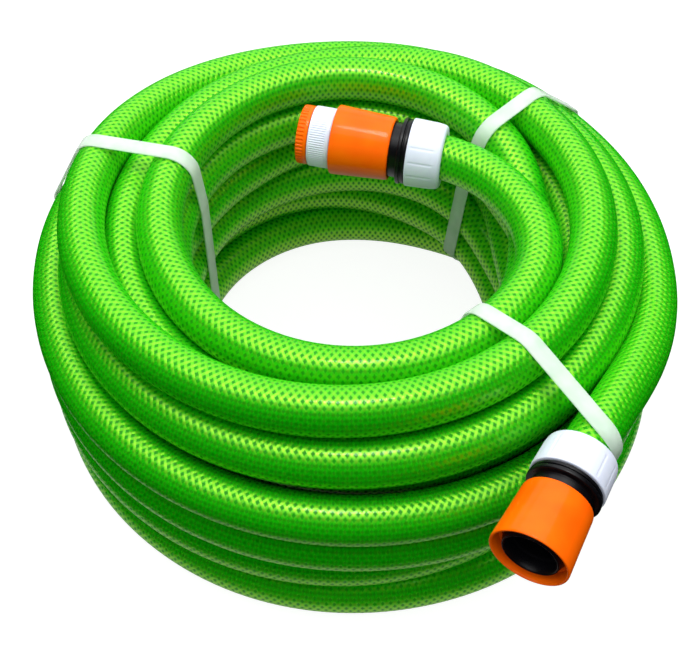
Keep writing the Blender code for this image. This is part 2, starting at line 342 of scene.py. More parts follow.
@dataclass(frozen=True)
class LightTable:
    """Opal acrylic or backdrop paper, lit from behind: plain white however little light falls on it."""

    name: str = "backlit_opal_acrylic"
    color: str = "#8A8B8A"
    glow: float = 0.9
    roughness: float = 0.9
    grain_mm: float = 1.1
    grain_depth_mm: float = 0.1
    grain_strength: float = 0.1

    def make(self) -> bpy.types.Material:
        """Build the material."""
        mix = Recipe(self.name)
        place = mix.add("TexCoord")
        grain = mix.add("TexNoise", {"Vector": place.outputs["Object"]}, {
            "Scale": 1.0 / (self.grain_mm * MM), "Detail": 3.0,
        })
        bump = mix.add("Bump", {"Height": grain.outputs[0]}, {
            "Strength": self.grain_strength, "Distance": self.grain_depth_mm * MM,
        })
        shader = mix.add("BsdfPrincipled", {"Normal": bump.outputs[0]}, {
            "Base Color": linear(self.color), "Roughness": self.roughness, "Specular IOR Level": 0.0,
            "Emission Color": (1.0, 1.0, 1.0, 1.0), "Emission Strength": self.glow,
        })
        return mix.finish(shader.outputs[0])


def mesh_object(
    name: str, verts: np.ndarray, faces: list[list[int]], material: bpy.types.Material,
) -> bpy.types.Object:
    """Make a smooth-shaded mesh object in the scene.

    Args:
        name: The piece's name.
        verts: Points in the row frame, in metres.
        faces: Lists of point numbers.
        material: The piece's material.

    Returns:
        The new object.
    """
    mesh = bpy.data.meshes.new(name)
    mesh.from_pydata([tuple(v) for v in verts], [], faces)
    mesh.materials.append(material)
    mesh.polygons.foreach_set("use_smooth", [True] * len(mesh.polygons))
    mesh.update()
    item = bpy.data.objects.new(name, mesh)
    bpy.context.scene.collection.objects.link(item)
    return item


def aimed(place: Triple, aim: Triple) -> Matrix:
    """Return the frame of a camera or lamp at one point that faces another."""
    way = Vector(aim) - Vector(place)
    return Matrix.Translation(place) @ way.to_track_quat("-Z", "Y").to_matrix().to_4x4()


@dataclass(frozen=True)
class Lamp:
    """One rectangular softbox that faces the coil: its place and size in metres, its power in watts."""

    name: str
    place: Triple
    size: Pair
    power: float

    def make(self) -> None:
        """Hang the lamp."""
        data = bpy.data.lights.new(self.name, "AREA")
        data.shape = "RECTANGLE"
        data.size, data.size_y = self.size
        data.energy = self.power
        lamp = bpy.data.objects.new(self.name, data)
        lamp.matrix_world = aimed(self.place, (0.0, 0.0, 0.0))
        bpy.context.scene.collection.objects.link(lamp)


@dataclass
class Studio:
    """Camera, lamps, floor and backdrop, in metres."""

    eye: Triple = (-1.31 * MM, -307.36 * MM, 429.71 * MM)
    target: Triple = (-1.31 * MM, -13.86 * MM, 52.28 * MM)
    lens: float = 66.0
    sensor: float = 36.0
    near_clip: float = 0.01
    floor_size: float = 6.0
    floor_drop: float = 0.4 * MM
    plate_radius: float = 0.135
    plate_drop: float = 0.2 * MM
    plate_glow: float = 0.45
    backdrop_radius: float = 2.95
    backdrop_height: float = 4.0
    backdrop_glow: float = 1.0
    circle_sides: int = 96
    low_light: float = 0.06
    high_light: float = 0.8
    light_heights: Pair = (-0.3, 0.62)
    lamps: tuple[Lamp, ...] = (
        Lamp("overhead_panel", (0.0, 0.35, 1.2), (1.8, 2.0), 18.0),
        Lamp("overhead_softbox", (0.03, 0.03, 1.15), (0.24, 0.24), 3.4),
        Lamp("back_panel", (0.0, 1.6, 0.45), (2.0, 0.9), 6.0),
    )

    def make_camera(self) -> None:
        """Place the camera at the photograph's angle."""
        data = bpy.data.cameras.new("camera")
        data.lens = self.lens
        data.sensor_width = self.sensor
        data.clip_start = self.near_clip
        camera = bpy.data.objects.new("camera", data)
        camera.matrix_world = aimed(self.eye, self.target)
        bpy.context.scene.collection.objects.link(camera)
        bpy.context.scene.camera = camera

    def make_light(self) -> None:
        """Light the part from above, with a surround that grows brighter with height."""
        world = bpy.data.worlds.new("surround")
        world.use_nodes = True
        nodes, links = world.node_tree.nodes, world.node_tree.links
        sky = nodes["Background"]
        sky.inputs["Color"].default_value = (1.0, 1.0, 1.0, 1.0)
        place = nodes.new("ShaderNodeTexCoord")
        axes = nodes.new("ShaderNodeSeparateXYZ")
        height = nodes.new("ShaderNodeMapRange")
        height.inputs["From Min"].default_value, height.inputs["From Max"].default_value = self.light_heights
        height.inputs["To Min"].default_value = self.low_light
        height.inputs["To Max"].default_value = self.high_light
        links.new(place.outputs["Generated"], axes.inputs[0])
        links.new(axes.outputs["Z"], height.inputs[0])
        links.new(height.outputs[0], sky.inputs["Strength"])
        # Only the lamps show in the gloss, as in a dark studio.
        world.cycles_visibility.glossy = False
        bpy.context.scene.world = world
        for lamp in self.lamps:
            lamp.make()

    def make_floor(self) -> None:
        """Lay the pale floor, with the plate that shows in the gloss and the backdrop round it."""
        half = self.floor_size / 2
        corners = np.array([(-half, -half, 0), (half, -half, 0), (half, half, 0), (-half, half, 0)])
        table = LightTable().make()
        floor = mesh_object("floor", corners, [[0, 1, 2, 3]], table)
        floor.visible_glossy = False
        count = self.circle_sides
        turn = np.linspace(0.0, 2 * math.pi, count, endpoint=False)
        circle = np.column_stack([np.cos(turn), np.sin(turn), np.zeros_like(turn)])
        rim = circle * self.plate_radius - (0.0, 0.0, self.plate_drop)
        # Of the table, the gloss shows only this dimmer round plate under the coil.
        dim = LightTable("shaded_opal_acrylic", glow=self.plate_glow).make()
        plate = mesh_object("table_plate", rim, [list(range(count))], dim)
        plate.visible_camera = False
        # Low views see this pale backdrop past the table's edge. It sheds no light on the hose.
        foot = circle * self.backdrop_radius
        wall = np.vstack([foot, foot + (0.0, 0.0, self.backdrop_height)])
        panels = [[k, (k + 1) % count, (k + 1) % count + count, k + count] for k in range(count)]
        paper = LightTable("white_backdrop_paper", glow=self.backdrop_glow).make()
        backdrop = mesh_object("backdrop", wall, panels, paper)
        backdrop.visible_glossy = False
        backdrop.visible_transmission = False
        backdrop.visible_shadow = False
        floor.location.z = -self.floor_drop
        for item in (floor, plate, backdrop):
            item.visible_diffuse = False


@dataclass(frozen=True)
class TurnPlaces:
    """Where one turn lies at four azimuths, as radius and height above the coil's underside in mm.

    A turn may also have a place between back and right, where it starts for the next turn's level.
    """

    right: Pair
    front: Pair
    left: Pair
    back: Pair
    late: Pair | None = None


# The turns in the order they were wound, from the inner end of the hose.
TURNS = (
    TurnPlaces((73.0, 87.0), (72.2, 87.0), (69.5, 87.0), (71.5, 86.5), (72.0, 82.0)),
    TurnPlaces((68.5, 70.5), (68.5, 70.5), (68.5, 70.5), (68.2, 69.5), (68.0, 66.0)),
    TurnPlaces((74.0, 55.0), (74.0, 55.5), (74.0, 55.5), (73.0, 54.0), (73.0, 50.5)),
    TurnPlaces((68.0, 39.5), (68.0, 40.0), (68.0, 40.0), (68.0, 39.0), (68.0, 35.0)),
    TurnPlaces((74.3, 23.8), (74.3, 24.5), (74.3, 24.5), (73.5, 23.5), (71.0, 20.0)),
    TurnPlaces((68.0, 8.5), (68.0, 8.5), (68.0, 8.5), (67.8, 8.5), (70.0, 8.5)),
    TurnPlaces((85.5, 8.5), (88.0, 8.5), (88.0, 8.5), (85.3, 8.5)),
    TurnPlaces((109.0, 8.5), (112.0, 8.5), (109.5, 8.5), (112.0, 8.5)),
    TurnPlaces((98.0, 20.5), (110.0, 25.5), (110.0, 25.5), (102.0, 20.5)),
    TurnPlaces((91.5, 26.0), (91.0, 25.5), (91.0, 25.5), (89.5, 26.0)),
    TurnPlaces((87.5, 42.0), (90.0, 42.5), (90.0, 42.5), (86.0, 43.0)),
    TurnPlaces((110.0, 33.0), (113.0, 42.5), (111.0, 42.5), (112.0, 37.5)),
    TurnPlaces((94.0, 55.5), (90.3, 57.5), (90.3, 57.5), (87.0, 60.5)),
    TurnPlaces((84.0, 71.5), (84.5, 73.8), (84.0, 78.0), (86.5, 78.0)),
    TurnPlaces((88.5, 88.5), (91.4, 91.9), (98.0, 88.0), (102.0, 70.0)),
    TurnPlaces((101.0, 75.0), (100.4, 76.5), (100.0, 71.0), (99.0, 47.0)),
    TurnPlaces((110.5, 48.0), (113.0, 59.5), (111.0, 59.0), (112.0, 55.5)),
)

# How firmly each turn, or the outer end after them, is held to its places: most where it shows most.
FIRMNESS = {
    0: 0.30, 1: 0.08, 2: 0.08, 3: 0.08, 4: 0.10, 5: 0.14, 7: 0.14, 8: 0.08, 11: 0.12,
    13: 0.10, 14: 0.30, 15: 0.18, 16: 0.20, 17: 0.60,
}
HIDDEN_FIRMNESS = 0.04


@dataclass
class HoseRoute:
    """The hose's centreline: a short inner tail, seventeen wound turns and an outer tail.

    Each turn is drawn to its places, the strands that cross one upright plane are pushed apart to
    a hose diameter, and the shifts are evened out along the hose. All lengths here are in mm,
    from the coil's axis and its underside. `leaving` holds degrees past the last turn, a radius
    and a height, and the ends hold plain coordinates. The pull to the places fades to its least
    share, and each round takes one step of the pushes and evens them out a little.
    """

    diameter: float = 17.0
    stations: int = 72
    lift: float = 1.45
    inner_end: tuple[Triple, ...] = (
        (20.2, 32.8, 86.0), (28.0, 30.95, 86.0), (35.7, 29.1, 86.0), (41.3, 26.9, 86.0),
        (46.4, 23.5, 86.1), (51.3, 19.5, 86.2), (55.7, 14.8, 86.4), (59.6, 9.2, 86.6),
        (63.0, 3.0, 86.8), (65.9, -4.0, 86.9), (68.3, -12.0, 87.0),
    )
    outer_end: tuple[Triple, ...] = (
        (81.0, -90.5, 81.6), (74.4, -100.9, 82.0), (70.5, -107.9, 82.0), (66.6, -114.9, 82.0),
    )
    first_turning: float = 20.0
    late_turning: float = 315.0
    entry: Pair = (73.2, 87.0)
    leaving: tuple[Triple, ...] = (
        (2.0, 111.8, 65.6), (18.0, 113.8, 70.0), (27.0, 115.2, 73.2), (35.0, 116.8, 76.6),
        (43.0, 119.0, 80.0),
    )
    inner_limit: float = 67.8
    outer_limit: float = 113.4
    rounds: int = 500
    fading_share: float = 0.8
    least_pull: float = 0.1
    least_yield: float = 0.05
    play: float = 0.1
    push_step: float = 0.7
    evening: float = 0.25
    smoothing: float = 0.2
    smoothing_rounds: int = 2

    def targets(self) -> tuple[np.ndarray, np.ndarray, np.ndarray]:
        """Spread the turns' places along the winding angle.

        Returns:
            The winding angles in degrees, the radius and height wanted at each, and how firmly each
            station is held to them.
        """
        keys = [(self.first_turning, *self.entry)]
        for turn, places in enumerate(TURNS):
            for quarter, place in enumerate((places.right, places.front, places.left, places.back)):
                if turn + quarter:
                    keys.append((360.0 * turn + 90.0 * quarter, *place))
            if places.late:
                keys.append((360.0 * turn + self.late_turning, *places.late))
        keys += [(360.0 * len(TURNS) + turned, *place) for turned, *place in self.leaving]
        keys = np.array(keys)
        angles = np.arange(self.first_turning, keys[-1, 0], 360.0 / self.stations)
        places = np.stack([smooth_through(keys[:, 0], keys[:, i], angles) for i in (1, 2)], axis=1)
        return angles, places, self.firmness(angles)

    def firmness(self, angles: np.ndarray) -> np.ndarray:
        """Return how firmly each station is held: the turns that show more than the hidden ones."""
        turns = (angles // 360).astype(int)
        return np.array([FIRMNESS.get(int(turn), HIDDEN_FIRMNESS) for turn in turns])

    def settle(self) -> np.ndarray:
        """Push the strands apart.

        Returns:
            Rows of winding angle, radius and height.
        """
        angles, wanted, firm = self.targets()
        slot = np.round(angles / (360.0 / self.stations)).astype(int) % self.stations
        groups = [np.flatnonzero(slot == s) for s in range(self.stations)]
        place = wanted.copy()
        low = self.diameter / 2
        high = np.where(angles < 360.0 * len(TURNS), self.outer_limit, np.inf)
        for number in range(self.rounds):
            fade = max(0.0, 1.0 - number / (self.fading_share * self.rounds))
            pull = firm * (self.least_pull + (1.0 - self.least_pull) * fade)
            place += (wanted - place) * pull[:, None]
            shift = np.zeros_like(place)
            for group in groups:
                points = place[group]
                apart = points[:, None, :] - points[None, :, :]
                distance = np.hypot(apart[..., 0], apart[..., 1])
                # No strand pushes itself, and two at one spot don't divide by nought.
                np.fill_diagonal(distance, np.inf)
                overlap = np.clip(self.diameter + self.play - distance, 0.0, None)
                yielding = 1.0 / (self.least_yield + firm[group])
                share = yielding[:, None] / (yielding[:, None] + yielding[None, :])
                push = apart / np.maximum(distance, 1e-6)[..., None] * (overlap * share)[..., None]
                shift[group] += push.sum(axis=1)
            place += self.push_step * shift
            offset = place - wanted
            offset[1:-1] += self.evening * (offset[:-2] + offset[2:] - 2 * offset[1:-1])
            place = wanted + offset
            place[:, 1] = np.maximum(place[:, 1], low)
            place[:, 0] = np.clip(place[:, 0], self.inner_limit, high)
        return np.column_stack([angles, place])

    def points(self, spacing: float) -> np.ndarray:
        """Return the centreline in the row frame.

        Args:
            spacing: The distance between points, in mm.

        Returns:
            Points in metres.
        """
        wound = self.settle()
        azimuth = -np.radians(wound[:, 0])
        radius, height = wound[:, 1], wound[:, 2]
        turns = np.column_stack([radius * np.cos(azimuth), radius * np.sin(azimuth), height])
        knots = np.vstack([self.inner_end, turns, self.outer_end])
        # The straight stretches in the fittings keep their first and last three knots.
        for _ in range(self.smoothing_rounds):
            knots[3:-3] += self.smoothing * (knots[2:-4] + knots[4:-2] - 2 * knots[3:-3])
        gone = np.concatenate([[0.0], np.cumsum(np.linalg.norm(np.diff(knots, axis=0), axis=1))])
        count = int(gone[-1] / spacing) + 1
        along = np.linspace(0.0, gone[-1], count)
        smooth = np.column_stack([smooth_through(gone, knots[:, i], along) for i in range(3)])
        return smooth * MM + np.array([*coil_axis(), self.lift * MM])


def coil_axis() -> np.ndarray:
    """Return where the coil's upright axis stands in plan, in metres."""
    low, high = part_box("hose_coil")
    return np.array([(low[0] + high[0]) / 2, (low[1] + high[1]) / 2])


def smooth_through(known: np.ndarray, values: np.ndarray, wanted: np.ndarray) -> np.ndarray:
    """Interpolate with a cubic whose slope at each known point comes from its neighbours.

    Args:
        known: Rising positions of the known points.
        values: Their values.
        wanted: Positions to fill in.

    Returns:
        A value for each wanted position.
    """
    slope = np.gradient(values, known)
    index = np.clip(np.searchsorted(known, wanted, side="right") - 1, 0, len(known) - 2)
    span = known[index + 1] - known[index]
    t = (wanted - known[index]) / span
    start, end = values[index], values[index + 1]
    return (
        (2 * t ** 3 - 3 * t ** 2 + 1) * start + (t ** 3 - 2 * t ** 2 + t) * span * slope[index]
        + (3 * t ** 2 - 2 * t ** 3) * end + (t ** 3 - t ** 2) * span * slope[index + 1]
    )


@dataclass
class GardenHose:
    """The hose: a round tube of braided PVC laid along its route.

    The braid's pitch along the hose and its number of threads each way are the ones that show.
    """

    route: HoseRoute
    diameter: float = 17.0 * MM
    ring_spacing_mm: float = 4.0
    sides: int = 32
    braid_pitch: float = 2.68 * MM
    braid_starts: int = 14
    path: np.ndarray | None = None

    @property
    def braid_angle(self) -> float:
        """Return the angle between a thread and the hose's axis, in degrees."""
        return math.degrees(math.atan2(math.pi * self.diameter / self.braid_starts, self.braid_pitch))

    def spokes(self, turn: np.ndarray) -> np.ndarray:
        """Point out from the path at each of its points, without twist from one to the next.

        Args:
            turn: Angles round the hose.

        Returns:
            A direction for each path point and angle.
        """
        ways = np.gradient(self.path, axis=0)
        ways /= np.linalg.norm(ways, axis=1)[:, None]
        across = np.empty_like(self.path)
        side = np.cross(ways[0], (0.0, 0.0, 1.0))
        for i, way in enumerate(ways):
            side = side - way * side.dot(way)
            side /= np.linalg.norm(side)
            across[i] = side
        over = np.cross(across, ways)
        cosine, sine = np.cos(turn)[None, :, None], np.sin(turn)[None, :, None]
        return cosine * across[:, None, :] + sine * over[:, None, :]

    def build(self) -> bpy.types.Object:
        """Sweep the closed tube along the path and lay the braid's UV map on it.

        Returns:
            The hose.
        """
        self.path = self.route.points(self.ring_spacing_mm)
        rings, count = len(self.path), self.sides
        spokes = self.spokes(np.linspace(0.0, 2 * math.pi, count, endpoint=False))
        verts = (self.path[:, None, :] + self.diameter / 2 * spokes).reshape(-1, 3)
        ring = np.arange(rings - 1)[:, None] * count
        here = np.arange(count)[None, :]
        there = (here + 1) % count
        corners = [ring + here, ring + count + here, ring + count + there, ring + there]
        quads = np.stack(corners, axis=-1).reshape(-1, 4).tolist()
        caps = [list(range(count)), list(range((rings - 1) * count, rings * count))[::-1]]
        material = BraidedPvc(braid_angle=self.braid_angle).make()
        hose = mesh_object("braided_hose", verts, quads + caps, material)
        self.unwrap(hose)
        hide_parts("hose_coil", "hose_inner_tail", "hose_outer_tail")
        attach(hose, "hose")
        return hose

    def unwrap(self, hose: bpy.types.Object) -> None:
        """Lay a UV map that counts braid pitches along the hose and threads round it.

        Args:
            hose: The hose's mesh object.
        """
        steps = np.linalg.norm(np.diff(self.path, axis=0), axis=1)
        along = np.concatenate([[0.0], np.cumsum(steps)]) / self.braid_pitch
        around = np.arange(self.sides + 1) / self.sides * self.braid_starts
        corners = np.zeros((len(self.path) - 1, self.sides, 4, 2))
        corners[..., 0, 0] = corners[..., 3, 0] = along[:-1, None]
        corners[..., 1, 0] = corners[..., 2, 0] = along[1:, None]
        corners[..., 0, 1] = corners[..., 1, 1] = around[None, :-1]
        corners[..., 2, 1] = corners[..., 3, 1] = around[None, 1:]
        uv = np.zeros(len(hose.data.loops) * 2)
        uv[:corners.size] = corners.ravel()
        hose.data.uv_layers.new(name="braid").data.foreach_set("uv", uv)


def ring_faces(count: int, wide: int) -> list[list[int]]:
    """Join a closed row of equal sections with four-cornered faces.

    Args:
        count: The number of sections.
        wide: The number of points in each.

    Returns:
        For each section and point, that point, the next in its section and the two after them.
    """
    return [
        [i * wide + j, i * wide + (j + 1) % wide,
         (i + 1) % count * wide + (j + 1) % wide, (i + 1) % count * wide + j]
        for i in range(count) for j in range(wide)
    ]


def clockwise_hull(points: list[Pair]) -> list[Pair]:
    """Return the points on the convex hull, clockwise."""
    ordered = sorted(points)

    def half(sequence: list[Pair]) -> list[Pair]:
        """Return one side of the hull."""
        chain: list[Pair] = []
        for point in sequence:
            while len(chain) > 1:
                (ax, ay), (bx, by) = chain[-2], chain[-1]
                if (bx - ax) * (point[1] - ay) - (by - ay) * (point[0] - ax) < 0:
                    break
                chain.pop()
            chain.append(point)
        return chain[:-1]

    return half(ordered) + half(ordered[::-1])


@dataclass
class Strap:
    """One flat strap pulled tight round every strand that passes its upright plane.

    The azimuth is in degrees from the right, towards the back. The lean is how far the strap moves
    aside for each length that it climbs.
    """

    name: str
    azimuth: float
    lean: float = 0.0
    width: float = 6.5 * MM
    thickness: float = 0.8 * MM
    clearance: float = 0.35 * MM
    edge: float = 0.3 * MM
    point_spacing: float = 1.5 * MM
    inner_reach: float = 61.0 * MM

    def crossings(self, path: np.ndarray, axis: np.ndarray) -> list[Pair]:
        """Find where the hose passes the strap's plane.

        Args:
            path: The hose's centreline.
            axis: The coil's axis in plan.

        Returns:
            Radius and height of each crossing.
        """
        angle = math.radians(self.azimuth)
        out = np.array([math.cos(angle), math.sin(angle)])
        aside = np.array([-out[1], out[0]])
        plan = path[:, :2] - axis
        off, reach = plan @ aside, plan @ out
        found = []
        for i in np.flatnonzero((off[:-1] * off[1:] <= 0) & (reach[:-1] > 0)):
            t = off[i] / (off[i] - off[i + 1])
            point = path[i] + t * (path[i + 1] - path[i])
            found.append((float(reach[i] + t * (reach[i + 1] - reach[i])), float(point[2])))
        # The hose's inner tail leaves the coil inside this reach and isn't tied in.
        return [crossing for crossing in found if crossing[0] > self.inner_reach]

    def outline(self, centers: list[Pair], radius: float) -> np.ndarray:
        """Return evenly spaced points on the line pulled tight round equal circles.

        Args:
            centers: The circles' centres on their hull, clockwise.
            radius: The circles' radius.

        Returns:
            Rows of radius, height and the outward normal's two parts.
        """
        rows = []
        for i, center in enumerate(centers):
            before, after = centers[i - 1], centers[(i + 1) % len(centers)]
            start = math.atan2(center[0] - before[0], -(center[1] - before[1]))
            end = math.atan2(after[0] - center[0], -(after[1] - center[1]))
            sweep = (start - end) % (2 * math.pi)
            steps = max(1, math.ceil(sweep * radius / self.point_spacing))
            for k in range(steps + 1):
                turn = start - sweep * k / steps
                out, up = math.cos(turn), math.sin(turn)
                rows.append((center[0] + radius * out, center[1] + radius * up, out, up))
            run, rise = after[0] - center[0], after[1] - center[1]
            reach = math.hypot(run, rise)
            last = rows[-1]
            for k in range(1, int(reach / self.point_spacing)):
                t = k * self.point_spacing / reach
                rows.append((last[0] + t * run, last[1] + t * rise, *last[2:]))
        return np.array(rows)

    def build(self, hose: GardenHose, material: bpy.types.Material) -> bpy.types.Object:
        """Make the strap.

        Args:
            hose: The hose that it holds.
            material: The strap's material.

        Returns:
            The strap.
        """
        axis = coil_axis()
        hull = clockwise_hull(self.crossings(hose.path, axis))
        rows = self.outline(hull, hose.diameter / 2 + self.clearance)
        angle = math.radians(self.azimuth)
        out = np.array([math.cos(angle), math.sin(angle), 0.0])
        aside = np.array([-out[1], out[0], 0.0])
        half, edge, thick = self.width / 2, self.edge, self.thickness
        section = [
            (-half, edge), (-half, thick - edge), (-half + edge, thick), (half - edge, thick),
            (half, thick - edge), (half, edge), (half - edge, 0.0), (-half + edge, 0.0),
        ]
        middle_height = rows[:, 1].mean()
        verts = []
        for radius, height, normal_out, normal_up in rows:
            lean = self.lean * (height - middle_height)
            for across, depth in section:
                place = out * (radius + normal_out * depth) + aside * (across + lean)
                verts.append((place[0] + axis[0], place[1] + axis[1], height + normal_up * depth))
        # The outline runs clockwise, so its faces take their corners the other way round.
        faces = [[a, b, c, d] for a, d, c, b in ring_faces(len(rows), len(section))]
        strap = mesh_object(self.name + "_strap", np.array(verts), faces, material)
        self.unwrap(strap, rows, section)
        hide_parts(self.name)
        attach(strap, "hose")
        return strap

    def unwrap(self, strap: bpy.types.Object, rows: np.ndarray, section: list[Pair]) -> None:
        """Lay a UV map in mm along and across the strap.

        Args:
            strap: The strap's mesh object.
            rows: The outline that it follows.
            section: Its cross-section.
        """
        layer = strap.data.uv_layers.new(name="strap")
        gone = np.cumsum(np.linalg.norm(np.diff(rows[:, :2], axis=0, append=rows[:1, :2]), axis=1)) / MM
        gone = np.concatenate([[0.0], gone])
        wide = len(section)
        for face in strap.data.polygons:
            i, j = divmod(face.index, wide)
            here, there = gone[i], gone[i + 1]
            one, other = section[j][0] / MM, section[(j + 1) % wide][0] / MM
            spots = [(here, one), (there, one), (there, other), (here, other)]
            for loop, spot in zip(face.loop_indices, spots):
                layer.data[loop].uv = spot


@dataclass(frozen=True)
class Corner:
    """One corner of a turned section, in mm, with its rounding and its share of the ribs' depth."""

    along: float
    radius: float
    rounding: float = 0.0
    ribbed: float = 0.0


@dataclass(frozen=True)
class Ribs:
    """Relief repeated round a turned piece."""

    count: int
    depth: float
    groove: float = 0.5
    softness: float = 0.3

    def cut(self, turn: np.ndarray) -> np.ndarray:
        """Return the depth below the rib tops at each angle, in mm.

        Args:
            turn: Angles in radians.

        Returns:
            Depths.
        """
        phase = np.abs((turn * self.count / (2 * math.pi)) % 1.0 - 0.5) * 2
        edge = np.clip((phase - (1 - self.groove)) / self.softness + 0.5, 0.0, 1.0)
        return self.depth * edge * edge * (3 - 2 * edge)


@dataclass
class TurnedPiece:
    """A closed section turned round a fitting's axis.

    It takes the place of one CAD node, rides on one body, and its corners run once round the
    section from the mouth's outer rim back along the outside.
    """

    name: str
    node: str
    body: str
    plastic: Plastic
    corners: tuple[Corner, ...]
    ribs: Ribs | None = None
    steps: int = 96
    arc_steps: int = 4
    sharp_angle: float = 38.0

    def section(self) -> np.ndarray:
        """Round the corners.

        Returns:
            Rows of distance along the axis, radius and rib share.
        """
        rows = []
        count = len(self.corners)
        for i, corner in enumerate(self.corners):
            here = np.array([corner.along, corner.radius])
            if corner.rounding == 0.0:
                rows.append((*here, corner.ribbed))
                continue
            sides = []
            for other in (self.corners[i - 1], self.corners[(i + 1) % count]):
                way = np.array([other.along, other.radius]) - here
                reach = np.linalg.norm(way)
                sides.append(here + way / reach * min(corner.rounding, reach / 2))
            for k in range(self.arc_steps + 1):
                t = k / self.arc_steps
                spot = (1 - t) ** 2 * sides[0] + 2 * t * (1 - t) * here + t * t * sides[1]
                rows.append((*spot, corner.ribbed))
        return np.array(rows)

    def build(self, place: Matrix, material: bpy.types.Material) -> bpy.types.Object:
        """Turn the section and put it in place of its CAD node.

        Args:
            place: The fitting's frame, local Z out of its mouth.
            material: The piece's material.

        Returns:
            The piece.
        """
        rows = self.section()
        turn = np.linspace(0.0, 2 * math.pi, self.steps, endpoint=False)
        cut = self.ribs.cut(turn) if self.ribs else np.zeros_like(turn)
        radius = rows[None, :, 1] - cut[:, None] * rows[None, :, 2]
        along = np.broadcast_to(rows[None, :, 0], radius.shape)
        across, over = radius * np.cos(turn)[:, None], radius * np.sin(turn)[:, None]
        local = np.stack([across, over, along], axis=-1).reshape(-1, 3) * MM
        basis = np.array(place)
        verts = local @ basis[:3, :3].T + basis[:3, 3]
        item = mesh_object(self.name, verts, ring_faces(self.steps, len(rows)), material)
        item.data.set_sharp_from_angle(angle=math.radians(self.sharp_angle))
        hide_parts(self.node)
        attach(item, self.body)
        return item


def fitting_place(joint_name: str, along: float) -> Matrix:
    """Read a fitting's frame from its sleeve's joint, whose axis points back to the hose.

    Args:
        joint_name: The joint.
        along: The joint's distance from the nut's hose side, in mm.

    Returns:
        A frame at the nut's hose side with local Z out of the mouth.
    """
    joint = next(j for j in frame["record"]["behaviour"]["joints"] if j["name"] == joint_name)
    out = (Vector(joint["axis"]) * -1.0).normalized()
    origin = Vector(joint["pos_m"]) - out * along * MM
    up = Vector((0.0, 0.0, 1.0))
    turn = Matrix((up.cross(out).normalized(), up, out)).transposed().to_4x4()
    return Matrix.Translation(origin) @ turn


@dataclass
class QuickConnector:
    """A click connector: clamp nut, collared body and release sleeve.

    All sizes are in mm, and places are measured from the nut's hose side towards the mouth.
    """

    side: str
    sleeve_start: float = 20.0
    sleeve_end: float = 42.5
    sleeve_radius: float = 13.4
    sleeve_bore: float = 10.8
    nut_length: float = 13.2
    nut_radius: float = 13.0
    nut_bore: float = 11.5
    hose_hole: float = 8.8
    collar_radius: float = 12.7
    barrel_end: float = 41.5
    barrel_radius: float = 10.5
    socket_floor: float = 19.5
    socket_radius: float = 7.6
    waterway_radius: float = 4.5

    def nut(self) -> TurnedPiece:
        """Return the clamp nut, with a round shoulder and fourteen narrow grooves."""
        end, rim, bore = self.nut_length, self.nut_radius, self.nut_bore
        outside = (
            Corner(end, rim, 0.5), Corner(11.9, rim - 0.03), Corner(11.6, rim - 0.05, 0.0, 1.0),
            Corner(3.4, rim - 0.35, 0.0, 1.0), Corner(3.1, rim - 0.4), Corner(0.0, rim - 0.9, 3.6),
        )
        inside = (
            Corner(0.0, self.hose_hole, 0.5), Corner(5.0, self.hose_hole), Corner(5.0, bore),
            Corner(end, bore),
        )
        return TurnedPiece(
            f"{self.side}_clamp_nut", f"{self.side}_nut", "hose", Plastic.WHITE, outside + inside,
            Ribs(count=14, depth=0.22, groove=0.12, softness=0.12), steps=280,
        )

    def body(self) -> TurnedPiece:
        """Return the connector body: two collar rings, a neck and the barrel with its socket."""
        start, end, mouth = self.nut_length + 0.3, self.nut_length + 3.5, self.barrel_end
        collar, groove, root = self.collar_radius, self.collar_radius - 0.8, self.nut_bore - 0.3
        barrel = (
            Corner(mouth, self.barrel_radius - 1.0, 0.3), Corner(mouth - 3.2, self.barrel_radius),
            Corner(end, self.barrel_radius, 0.3),
        )
        collar_rings = (
            Corner(end, collar, 0.5), Corner(start + 1.7, collar, 0.4), Corner(start + 1.7, groove, 0.2),
            Corner(start + 1.2, groove, 0.2), Corner(start + 1.2, collar - 0.3, 0.3),
            Corner(start, collar - 0.3, 0.3),
        )
        hose_seat = (
            Corner(start, root), Corner(5.3, root), Corner(5.3, self.hose_hole),
            Corner(16.3, self.hose_hole), Corner(16.3, self.waterway_radius),
            Corner(self.socket_floor, self.waterway_radius),
        )
        socket = (
            Corner(self.socket_floor, self.socket_radius), Corner(mouth - 5.0, self.socket_radius),
            Corner(mouth - 4.4, self.socket_radius + 0.6), Corner(mouth - 2.0, self.socket_radius + 0.6),
            Corner(mouth, self.socket_radius + 1.3, 0.4),
        )
        return TurnedPiece(
            f"{self.side}_collared_body", f"{self.side}_connector_body", "hose", Plastic.BLACK,
            barrel + collar_rings + hose_seat + socket,
        )

    def sleeve(self) -> TurnedPiece:
        """Return the release sleeve, flared to a rounded mouth with a sunk lip."""
        start, end, rim, bore = self.sleeve_start, self.sleeve_end, self.sleeve_radius, self.sleeve_bore
        outside = (Corner(end, rim, 1.1), Corner(end - 9.0, rim - 0.55, 3.0), Corner(start, rim - 1.3, 1.6))
        inside = (
            Corner(start, bore, 0.4), Corner(end - 4.6, bore), Corner(end - 4.4, bore + 1.1),
            Corner(end - 0.5, bore + 1.55, 0.3), Corner(end, bore + 1.8, 0.3),
        )
        return TurnedPiece(
            f"{self.side}_release_sleeve", f"{self.side}_sleeve", f"{self.side}_sleeve", Plastic.ORANGE,
            outside + inside, steps=128,
        )

    def build(self, place: Matrix, plastics: dict[Plastic, bpy.types.Material]) -> list[bpy.types.Object]:
        """Make the connector's three pieces.

        Args:
            place: The connector's frame.
            plastics: The material of each plastic.

        Returns:
            The pieces, from the hose outwards.
        """
        pieces = [self.nut(), self.body(), self.sleeve()]
        return [piece.build(place, plastics[piece.plastic]) for piece in pieces]


